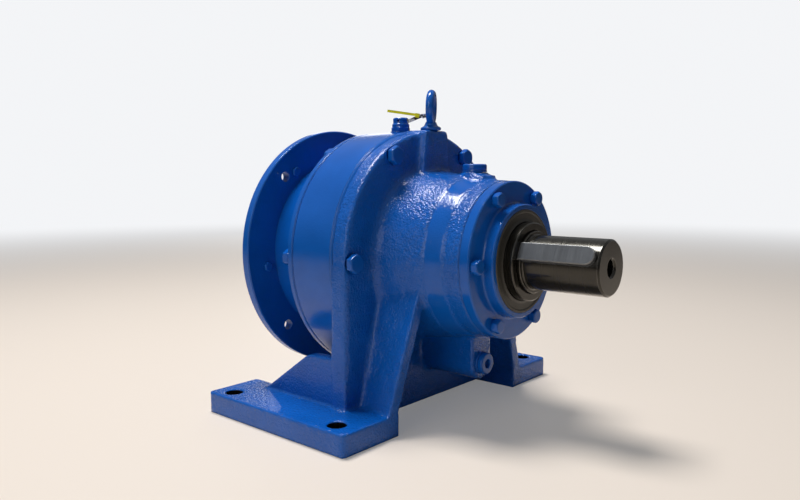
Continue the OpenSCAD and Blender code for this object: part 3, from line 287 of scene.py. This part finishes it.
def enamel(name, rough, peel, cast=0.0, edge=0.0):
    """Blue gloss enamel: peel is the depth of the spray texture, cast that of the sand casting under it."""
    mat, tree, shader = node_material(name)
    coords = object_coords(tree)
    tone = remap(tree, noise(tree, coords, *PAINT_TONE), 0, 1, *NOISE)
    tint = colour_mix(tree, tone, BLUE_DEEP, BLUE_LIGHT)
    if edge:
        # sharp edges of the enamel turn a lighter blue: painted highlight
        painted_edge_highlights(tree, shader, tint, BLUE_EDGE_HIGHLIGHT, 0.75)
    else:
        tree.links.new(tint, shader.inputs["Base Color"])
    gloss = remap(tree, noise(tree, coords, *PAINT_GLOSS), rough * 0.75, rough * 1.35, *NOISE)
    tree.links.new(gloss, shader.inputs["Roughness"])
    shader.inputs["Specular IOR Level"].default_value = 0.28
    shader.inputs["Coat Weight"].default_value = 0.2
    shader.inputs["Coat Roughness"].default_value = 0.05
    layers = [(noise(tree, coords, *SPRAY), peel, 1.0)]
    if cast:
        layers.append((noise(tree, coords, *CASTING), cast, 1.0))
    bumps(tree, shader, layers, edge)
    return mat


def steel(name, colour, rough, metal=1.0, oil=0.0):
    """Turned steel with fine marks round its axis. oil is the weight of a clear film on it."""
    mat, tree, shader = node_material(name)
    coords = object_coords(tree)
    drawn = add(tree, "VectorMath", {0: coords, 1: STREAKS}, operation="MULTIPLY").outputs[0]
    lines = noise(tree, drawn, *STEEL_LINES)
    tone = remap(tree, noise(tree, coords, *STEEL_TONE), 0, 1, *NOISE)
    body = colour_mix(tree, tone, scaled(colour, 0.85), scaled(colour, 1.15))
    # sharp edges of the steel turn pale: painted highlight
    painted_edge_highlights(tree, shader, body, STEEL_EDGE_HIGHLIGHT, 0.6)
    shader.inputs["Metallic"].default_value = metal
    shader.inputs["Coat Weight"].default_value = oil
    shader.inputs["Coat Roughness"].default_value = 0.12
    tree.links.new(remap(tree, lines, rough * 0.8, rough * 1.3, *NOISE), shader.inputs["Roughness"])
    bumps(tree, shader, [(lines, STREAK_DEPTH, 0.3)], EDGE)
    return mat


def plain(name, colour, rough, scale, depth):
    """Rubber, paper or plastic with one fine texture of this scale and depth."""
    mat, tree, shader = node_material(name)
    tone = noise(tree, object_coords(tree), scale, 3, 0.6)
    body = colour_mix(tree, tone, scaled(colour, 0.8), scaled(colour, 1.2))
    # sharp edges get a lighter colour: painted highlight
    painted_edge_highlights(tree, shader, body, scaled(colour, 1.5, 0.06), 0.8)
    tree.links.new(remap(tree, tone, rough * 0.85, rough * 1.15), shader.inputs["Roughness"])
    bumps(tree, shader, [(tone, depth, 0.5)], EDGE)
    return mat


def film(name):
    """Crumpled clear film: one noise bumps it into folds and paints dark shade and bright highlights into
    its colour.
    """
    mat, tree, shader = node_material(name)
    folds_and_painted_light = noise(tree, object_coords(tree), *FILM_FOLDS_AND_PAINTED_LIGHT)
    # the noise paints shade and highlights into the film's colour
    tone = remap(tree, folds_and_painted_light, 0, 1, 0.42, 0.55)
    tree.links.new(colour_mix(tree, tone, FILM_PAINTED_SHADE, FILM_PAINTED_HIGHLIGHT), shader.inputs["Base Color"])
    shader.inputs["Roughness"].default_value = 0.1
    bumps(tree, shader, [(folds_and_painted_light, 0.001, 0.6)])
    return mat


blue_cast = enamel("blue_cast", 0.12, 0.0009, 0.0005)
blue_smooth = enamel("blue_smooth", 0.12, 0.00014, edge=PAINT_EDGE)
blue_bolt = enamel("blue_bolt", 0.12, 0.00015)
steel_dark = steel("steel_dark", (0.03, 0.028, 0.023), 0.22, 0.85, 0.45)
# the key's steel is lighter and bluer than the shaft's: a painted reflection on its flat top
steel_key_painted_reflection = steel("steel_key_painted_reflection", (0.11, 0.12, 0.135), 0.36, 0.6, 0.2)
steel_ground = steel("steel_ground", (0.55, 0.56, 0.58), 0.28)
steel_bright = steel("steel_bright", (0.75, 0.76, 0.78), 0.16)
rubber_black = plain("rubber_black", (0.042, 0.040, 0.035), 0.42, 300, 0.00004)
paper_brown = plain("paper_brown", (0.25, 0.18, 0.11), 0.8, 400, 0.0001)
tie_yellow = plain("tie_yellow", (0.95, 0.9, 0.02), 0.3, 120, 0.00005)
film_clear = film("film_clear")

by_slot = {
    "blue_paint": blue_smooth, "dark_steel": steel_dark, "machined_steel": steel_ground,
    "hardened_steel": steel_bright, "black_rubber": rubber_black, "gasket_paper": paper_brown,
    "yellow_plastic": tie_yellow, "clear_film": film_clear,
}


def paint(obj, mat):
    """Makes this the object's only material."""
    obj.data.materials.clear()
    obj.data.materials.append(mat)


for part in frame["record"]["subparts"]:
    paint(nodes[part["node"]], by_slot[part["material_slot"]])
paint(nodes["casing"], blue_cast)
for name in ("casing_bolts", "cover_bolts", "flange_screws", "casing_nuts", "casing_washers"):
    paint(nodes[name], blue_bolt)
# the whole unit was sprayed after assembly, so its paper gaskets are blue too
for name in ("ring_gaskets", "cover_gasket"):
    paint(nodes[name], blue_smooth)
# the key's lighter, bluer steel is a painted reflection
paint(nodes["shaft_key"], steel_key_painted_reflection)

# ---- tools for rounded copies of CAD nodes -----------------------------------------------------------

WELD = 1e-6  # points nearer than this are one
NORMALS_EVERY = 4  # rounds of filling that use the same normals


def welded(name, sources):
    """One mesh object that holds a copy of these CAD nodes."""
    bm = bmesh.new()
    for source in sources:
        bm.from_mesh(nodes[source].data)
    bmesh.ops.remove_doubles(bm, verts=bm.verts, dist=WELD)
    return object_from(bm, name)


def applied(obj):
    """Gives the object the mesh that its modifiers make."""
    graph = bpy.context.evaluated_depsgraph_get()
    mesh = bpy.data.meshes.new_from_object(obj.evaluated_get(graph))
    obj.modifiers.clear()
    obj.data = mesh
    return mesh


def radius_of(co):
    """Distance of each point from the shaft axis."""
    return np.hypot(co[:, 1], co[:, 2] - AXIS_H)


def scale_round_axis(co, scale):
    """Moves points outwards from the shaft axis by a factor."""
    co[:, 1] *= scale
    co[:, 2] = AXIS_H + (co[:, 2] - AXIS_H) * scale


class Surface:
    """Points of a mesh with its neighbours, for smoothing in code."""

    def __init__(self, mesh):
        self.mesh = mesh
        self.n = len(mesh.vertices)
        flat = np.empty(self.n * 3)
        mesh.vertices.foreach_get("co", flat)
        self.co = flat.reshape(-1, 3)
        edges = np.empty(len(mesh.edges) * 2, np.int32)
        mesh.edges.foreach_get("vertices", edges)
        self.a, self.b = edges.reshape(-1, 2).T
        count = np.bincount(self.a, minlength=self.n) + np.bincount(self.b, minlength=self.n)
        self.degree = np.maximum(count, 1)

    def pull(self):
        """From each point to the middle of its neighbours."""
        parts = []
        for k in range(3):
            c = self.co[:, k]
            parts.append(np.bincount(self.a, c[self.b], self.n) + np.bincount(self.b, c[self.a], self.n))
        return np.stack(parts, 1) / self.degree[:, None] - self.co

    def normals(self):
        """The surface's direction at each point."""
        self.store()
        flat = np.empty(self.n * 3, np.float32)
        self.mesh.vertex_normals.foreach_get("vector", flat)
        return flat.reshape(-1, 3).astype(float)

    def round_off(self, weight, rounds):
        """Evens out all edges and corners."""
        for _ in range(rounds):
            self.co += 0.5 * self.pull() * weight[:, None]

    def fill(self, weight, rounds):
        """Fills inner corners only, as paint and casting fillets do."""
        for step in range(rounds):
            if step % NORMALS_EVERY == 0:
                normal = self.normals()
            pull = self.pull()
            rise = np.clip((pull * normal).sum(1), 0, None)
            self.co += 0.8 * rise[:, None] * normal * weight[:, None]

    def store(self):
        self.mesh.vertices.foreach_set("co", self.co.ravel())
        self.mesh.update()


def lumps(co, size, seed):
    """Smooth noise from -1 to 1 with grains of this size in metres."""
    cells = 32
    grid = np.random.RandomState(seed).rand(cells, cells, cells)
    spot = co / size
    base = np.floor(spot).astype(int)
    f = spot - base
    f = f * f * (3 - 2 * f)
    value = 0
    for corner in np.ndindex(2, 2, 2):
        wx, wy, wz = (f[:, k] if corner[k] else 1 - f[:, k] for k in range(3))
        ix, iy, iz = ((base[:, k] + corner[k]) % cells for k in range(3))
        value = value + wx * wy * wz * grid[ix, iy, iz]
    return 2 * value - 1


def rounded(name, sources, voxel, rounds, fills, shape=None, reshape=None):
    """A voxel copy of CAD nodes with soft edges.

    reshape(obj) changes the copy before it is cut into voxels. shape sets weights and finishes the points.
    """
    obj = welded(name, sources)
    if reshape:
        reshape(obj)
    mod = obj.modifiers.new("voxels", "REMESH")
    mod.mode = "VOXEL"
    mod.voxel_size = voxel
    surface = Surface(applied(obj))
    start = surface.co.copy()
    weight = shape.weight(start) if shape else np.ones(surface.n)
    surface.round_off(weight, rounds)
    if shape:
        shape.soften(surface, start, weight)
    surface.fill(weight, fills)
    if shape:
        shape.finish(surface, start, weight)
    surface.store()
    obj.data.polygons.foreach_set("use_smooth", [True] * len(obj.data.polygons))
    return obj


def prism(bm, outline, x_from, x_to):
    """A closed prism along X over an outline of (y, z) points."""
    near = [bm.verts.new((x_from, y, z)) for y, z in outline]
    far = [bm.verts.new((x_to, y, z)) for y, z in outline]
    count = len(outline)
    faces = [bm.faces.new(near), bm.faces.new(far)]
    for k in range(count):
        faces.append(bm.faces.new((near[k], near[(k + 1) % count], far[(k + 1) % count], far[k])))
    bmesh.ops.recalc_face_normals(bm, faces=faces)


def moved(change):
    """A reshape step that sends the points of the copy through change(co)."""
    def reshape(obj):
        surface = Surface(obj.data)
        change(surface.co)
        surface.store()
    return reshape


def stand_in(obj, node, mat, body="housing"):
    """This piece is shown in place of the CAD node."""
    paint(obj, mat)
    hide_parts(node)
    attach(obj, body)


# ---- the casing --------------------------------------------------------------------------------------


class CasingShape:
    """Where the casing is raw casting, and where it is machined or hidden inside."""

    joint_x = 0.0377  # all that lies behind the joint with the ring housing is hidden
    joint_room = 0.002
    bore_r = 0.0675  # so is what lies this near the axis
    pocket_x, pocket_r, pocket_z = 0.0535, 0.078, 0.06  # and the room behind the flange's wall
    end_x = 0.1388  # machined end of the snout
    face_x = 0.0539  # front of the flange
    band = (0.1046, 0.1226)  # machined band on the snout
    band_r = (0.0749, 0.0726)
    band_reach = 0.0007
    base_z = 0.045  # feet and the roots of the webs
    base_share = 0.45
    pad_top = 0.02
    foot_hole_r = 0.0085
    hole_edge = (0.0035, 0.003)  # outwards and upwards from a foot hole, how far its edge stays sharp
    shaded_hole_wall = (0.0006, 0.0012)  # painted shade: dark steel on the wall this near the hole's radius, and this far below the pad's top
    foot_holes = [opening["box_m"] for opening in frame["record"]["physics"]["openings"]
                  if opening["name"].startswith("foot_hole")]
    rim_r, rim_x, rim_rounds = 0.1085, 0.06, 26
    lug_z, lug_y, lug_rounds = 0.2335, 0.03, 12
    lug_front_x = 0.0627
    lug_top = 0.2699
    lug_skirt_z = (0.2472, 0.2515)  # the CAD's lug flares out below these heights
    lug_skirt_y = 0.032
    lug_foot_z = 0.222
    lug_half = 0.0166
    lug_taper = 0.12
    skins = ((0.00016, 0.0042, 3), (0.00022, 0.011, 5))  # height, grain and seed of the casting's waves

    def lug_side(self, z):
        """Half width of the lifting lug at this height."""
        return self.lug_half + (self.lug_top - z) * self.lug_taper

    def straight_lug(self, obj):
        """Makes the lug a plain block down the flange: no flared skirt, and its front drawn down."""
        low, high = self.lug_skirt_z[0], self.lug_top + 0.002
        bm = bmesh.new()
        for side in (-1, 1):
            skirt = side * self.lug_skirt_y
            outline = [(side * self.lug_side(low), low), (skirt, low), (skirt, high),
                       (side * self.lug_side(high), high)]
            prism(bm, outline, self.face_x, self.lug_front_x + 0.004)
        cutter = object_from(bm, "lug_cutter")
        cut = obj.modifiers.new("cut", "BOOLEAN")
        cut.operation = "DIFFERENCE"
        cut.object = cutter
        mesh = applied(obj)
        bpy.data.objects.remove(cutter)
        bm = bmesh.new()
        bm.from_mesh(mesh)
        top, foot = self.lug_skirt_z[1], self.lug_foot_z
        outline = [(-self.lug_side(foot), foot), (self.lug_side(foot), foot), (self.lug_side(top), top),
                   (-self.lug_side(top), top)]
        prism(bm, outline, self.face_x - 0.006, self.lug_front_x)
        bm.to_mesh(mesh)
        bm.free()

    def weight(self, co):
        """How far each point may move: 0 where the casing is machined or hidden."""
        r = radius_of(co)
        pocket = (co[:, 0] < self.pocket_x) & (r < self.pocket_r) & (co[:, 2] > self.pocket_z)
        fixed = (r < self.bore_r) | (co[:, 0] < self.joint_x) | pocket | (co[:, 0] > self.end_x)
        weight = np.where(fixed, 0.0, 1.0)
        weight = np.where(co[:, 2] < self.base_z, weight * self.base_share, weight)
        return np.where(self.in_foot_hole(co, *self.hole_edge), 0.0, weight)

    def in_foot_hole(self, co, room, above):
        """Which points are in a foot hole or this near its wall, up to this height above the pad."""
        inside = np.zeros(len(co), bool)
        for low, high in self.foot_holes:
            middle = ((low[0] + high[0]) / 2, (low[1] + high[1]) / 2)
            inside |= np.hypot(co[:, 0] - middle[0], co[:, 1] - middle[1]) < self.foot_hole_r + room
        return inside & (co[:, 2] < self.pad_top + above)

    def soften(self, surface, start, weight):
        """The flange's rim and the lifting lug have broader edges than the rest."""
        x, y, z = start.T
        loose = x > self.joint_x + self.joint_room
        lug = (z > self.lug_z) & (np.abs(y) < self.lug_y)
        rim = (radius_of(start) > self.rim_r) & (x < self.rim_x) & (z > self.base_z) & ~lug
        surface.round_off(weight * (lug & loose), self.lug_rounds)
        surface.round_off(weight * (rim & loose), self.rim_rounds)

    def on_band(self, co):
        """Which points lie on the machined band, and its radius there."""
        x = co[:, 0]
        share = np.clip((x - self.band[0]) / (self.band[1] - self.band[0]), 0, 1)
        r = self.band_r[0] + (self.band_r[1] - self.band_r[0]) * share
        near = np.abs(radius_of(co) - r) < self.band_reach
        return (x > self.band[0]) & (x < self.band[1]) & near, r

    def finish(self, surface, start, weight):
        """Waves of the casting on the raw faces, a true cone on the band, and nothing past the CAD's box."""
        normal = surface.normals()
        on, r = self.on_band(start)
        height = sum(depth * lumps(start, grain, seed) for depth, grain, seed in self.skins)
        surface.co += normal * (height * weight * ~on)[:, None]
        scale_round_axis(surface.co, np.where(on, r / radius_of(surface.co), 1.0))
        surface.co[:] = np.clip(surface.co, list(cad_box[0]), list(cad_box[1]))

    def paint_zones(self, obj, band_mat, hole_shade_mat):
        """The machined band takes the smooth enamel, and the walls of the foot holes take dark steel as
        painted shade.
        """
        obj.data.materials.append(band_mat)
        obj.data.materials.append(hole_shade_mat)
        flat = np.empty(len(obj.data.polygons) * 3, np.float32)
        obj.data.polygons.foreach_get("center", flat)
        centres = flat.reshape(-1, 3).astype(float)
        on, _ = self.on_band(centres)
        # the walls of the foot holes take dark steel: painted shade in the holes
        shaded_hole = self.in_foot_hole(centres, self.shaded_hole_wall[0], -self.shaded_hole_wall[1])
        obj.data.polygons.foreach_set("material_index", np.where(shaded_hole, 2, on).astype(np.int32))


casing_shape = CasingShape()
casing = rounded("casing_cast", ["casing"], 0.0013, 5, 8, casing_shape, casing_shape.straight_lug)
stand_in(casing, "casing", blue_cast)
# dark steel in the foot holes is painted shade
casing_shape.paint_zones(casing, blue_smooth, steel_dark)

# ---- painted small parts: the paint rounds their edges and fills their corners -----------------------

BOLT_CIRCLE, COVER_CIRCLE = 0.1093, 0.0632
BOLT_SHARE, COVER_BOLT_SHARE = 0.84, 0.92
BOLT_HEAD_SHARE, COVER_HEAD_SHARE, NUT_SHARE = 0.84, 0.85, 0.76
NUT_SEAT_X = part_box("casing_washers")[0][0]
COVER_SEAT_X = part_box("output_cover")[1][0] + 0.0016
VENT_TOP = 0.0126  # height of the vent plug above its seat
VENT_WIDER, VENT_FLARE, VENT_TALLER, VENT_SHIFT = 1.14, 0.08, 1.08, 0.0008
EYE_DROP, EYE_HEIGHT = 0.0405, 0.036  # from the ring's top to its shank, and the height that moves
EYE_LEAN = (0.0007, 0.0006, -0.001)
RIM = 0.0004  # points this near a gasket's greatest radius are its outer edge
FILLET = 0.0014


def slimmer(circle_r, share, front=None, rear=None):
    """Fasteners on a circle round the axis get thinner by a share.

    front and rear are (seat_x, share): what lies beyond the seat gets shorter.
    """
    angles = [math.radians(a) for a in range(0, 360, 60)]
    spots = np.array([(circle_r * math.cos(a), AXIS_H + circle_r * math.sin(a)) for a in angles])

    def change(co):
        gaps = [np.hypot(co[:, 1] - y, co[:, 2] - z) for y, z in spots]
        middle = spots[np.argmin(gaps, axis=0)]
        co[:, 1:] = middle + (co[:, 1:] - middle) * share
        if front:
            co[:, 0] -= np.maximum(co[:, 0] - front[0], 0) * (1 - front[1])
        if rear:
            co[:, 0] += np.maximum(rear[0] - co[:, 0], 0) * (1 - rear[1])

    return moved(change)


def larger_vent(co):
    """The vent plug sits a little nearer the joint and is a size up."""
    low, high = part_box("vent_plug")
    x, y = (low[0] + high[0]) / 2, (low[1] + high[1]) / 2
    seat = high[2] - VENT_TOP
    share = VENT_WIDER + VENT_FLARE * np.clip((co[:, 2] - seat) / VENT_TOP, 0, 1)
    co[:, 0] = x + VENT_SHIFT + (co[:, 0] - x) * share
    co[:, 1] = y + (co[:, 1] - y) * share
    co[:, 2] = np.where(co[:, 2] > seat, seat + (co[:, 2] - seat) * VENT_TALLER, co[:, 2])


def lower_eye(co):
    """The ring of the eyebolt stands a millimetre lower and leans that much to the right."""
    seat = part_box("eyebolt")[1][2] - EYE_DROP
    rise = np.clip((co[:, 2] - seat) / EYE_HEIGHT, 0, 1)
    for k in range(3):
        co[:, k] += EYE_LEAN[k] * rise


def paint_over(neighbour, side, rim, fillet_rim):
    """Paint fills a joint, so the gasket's edge stands nearly level with the piece beside it.

    On that side of the piece (1 front, -1 rear) the edge becomes a fillet. rim and fillet_rim are how
    far the two edges stand past the piece's own radius.
    """
    low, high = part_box(neighbour)
    radius = (high[1] - low[1]) / 2
    face_x = high[0] if side > 0 else low[0]

    def change(co):
        r = radius_of(co)
        edge = r > r.max() - RIM
        fillet = edge & (side * (co[:, 0] - face_x) > 0.0002)
        scale = np.where(edge, (radius + rim) / r, 1)
        scale = np.where(fillet, (radius + fillet_rim) / r, scale)
        co[:, 0] += np.where(fillet, side * FILLET, 0)
        scale_round_axis(co, scale)

    return moved(change)


SMALL_PARTS = [
    # node, voxel in metres, rounds of smoothing, rounds of filling, change of the copy
    ("casing_bolts", 0.0007, 2, 6,
     slimmer(BOLT_CIRCLE, BOLT_SHARE, (casing_shape.face_x, BOLT_HEAD_SHARE), (NUT_SEAT_X, NUT_SHARE))),
    ("casing_nuts", 0.0007, 2, 4, slimmer(BOLT_CIRCLE, BOLT_SHARE, None, (NUT_SEAT_X, NUT_SHARE))),
    ("casing_washers", 0.0006, 2, 2, slimmer(BOLT_CIRCLE, BOLT_SHARE)),
    ("cover_bolts", 0.0005, 2, 6, slimmer(COVER_CIRCLE, COVER_BOLT_SHARE, (COVER_SEAT_X, COVER_HEAD_SHARE))),
    ("flange_screws", 0.0005, 3, 4, None),
    ("eyebolt", 0.0006, 3, 14, moved(lower_eye)),
    ("vent_plug", 0.0004, 2, 4, moved(larger_vent)),
    ("filler_plug", 0.0005, 2, 4, None),
    ("drain_plug", 0.0005, 2, 4, None),
]
for node, voxel, rounds, fills, reshape in SMALL_PARTS:
    piece = rounded(node + "_painted", [node], voxel, rounds, fills, None, reshape)
    stand_in(piece, node, blue_bolt)

for node, reshape in (("ring_gaskets", paint_over("ring_housing", 1, -0.0003, -0.0016)),
                      ("cover_gasket", paint_over("output_cover", -1, 0.0001, 0.0006))):
    piece = welded(node + "_painted", [node])
    reshape(piece)
    stand_in(piece, node, blue_smooth)

# ---- cable tie and film at the eyebolt ---------------------------------------------------------------

TIE_TAIL = [(0.0221, -0.0272, 0.2889), (0.0325, -0.0185, 0.2870), (0.0433, -0.0094, 0.2849),
            (0.0462, -0.0070, 0.2842)]
TIE_HEAD = [(0.0425, -0.0101, 0.2846), (0.0440, -0.0088, 0.2843), (0.0458, -0.0073, 0.2839)]
FILM_LOOP = [(0.0372, -0.0154, 0.2786), (0.0415, -0.0118, 0.2806), (0.0450, -0.0088, 0.2826),
             (0.0485, -0.0058, 0.2840), (0.0508, -0.0010, 0.2846), (0.0545, 0.0022, 0.2846),
             (0.0566, -0.0010, 0.2842), (0.0540, -0.0058, 0.2838), (0.0490, -0.0070, 0.2830)]
TIE_TAIL_SIZE, TIE_HEAD_SIZE, FILM_SIZE = (0.0024, 0.0011), (0.0040, 0.0034), (0.0034, 0.00035)
FILM_CRUMPLE, FILM_SEED = 0.0009, 11
ROUTE_STEPS = 10
STRAP_POINTS = 5  # points across each side of a strap


def smooth_route(points):
    """Points along a curve through all of these."""
    route = []
    for k in range(len(points) - 1):
        a, b = points[k], points[k + 1]
        leave, arrive = (b - points[max(k - 1, 0)]) / 2, (points[min(k + 2, len(points) - 1)] - a) / 2
        for j in range(ROUTE_STEPS):
            t = j / ROUTE_STEPS
            route.append((2 * t**3 - 3 * t**2 + 1) * a + (t**3 - 2 * t**2 + t) * leave
                         + (-2 * t**3 + 3 * t**2) * b + (t**3 - t**2) * arrive)
    route.append(points[-1])
    return route


def strap(name, points, width, thick, crumple=0.0, seed=0):
    """A flat strap along these points. Its width stands upright and its ends are closed."""
    route = smooth_route([Vector(p) for p in points])
    rows, across = len(route), STRAP_POINTS
    bm = bmesh.new()
    wave = np.random.RandomState(seed).rand(rows, across) - 0.5
    heights = [(j / (across - 1) - 0.5) * width for j in range(across)]
    rings = []
    for k, p in enumerate(route):
        run = (route[min(k + 1, rows - 1)] - route[max(k - 1, 0)]).normalized()
        side = run.cross(Vector((0, 0, 1))).normalized()
        rise = side.cross(run)
        ring = [p + rise * heights[j] + side * (crumple * wave[k, j] + thick / 2) for j in range(across)]
        back = [p + rise * heights[j] + side * (crumple * wave[k, j] - thick / 2) for j in range(across)]
        ring += reversed(back)
        rings.append([bm.verts.new(v) for v in ring])
    count = 2 * across
    for near, far in zip(rings, rings[1:]):
        for j in range(count):
            bm.faces.new((near[j], near[(j + 1) % count], far[(j + 1) % count], far[j]))
    for end in (rings[0], rings[-1]):
        for j in range(across - 1):
            bm.faces.new((end[j], end[j + 1], end[count - 2 - j], end[count - 1 - j]))
    bmesh.ops.recalc_face_normals(bm, faces=bm.faces)
    return object_from(bm, name)


def make_tie():
    """A yellow tie holds the end of a strip of clear film that is looped round the eyebolt's ring."""
    tail = strap("tie_strap", TIE_TAIL, *TIE_TAIL_SIZE)
    head = strap("tie_head", TIE_HEAD, *TIE_HEAD_SIZE)
    strip = strap("film_strip", FILM_LOOP, *FILM_SIZE, FILM_CRUMPLE, FILM_SEED)
    for piece, mat, slot in ((tail, tie_yellow, "yellow_plastic"), (head, tie_yellow, "yellow_plastic"),
                             (strip, film_clear, "clear_film")):
        paint(piece, mat)
        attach(piece, "housing")
    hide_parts("cable_tie")
    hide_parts("hang_tag")


make_tie()
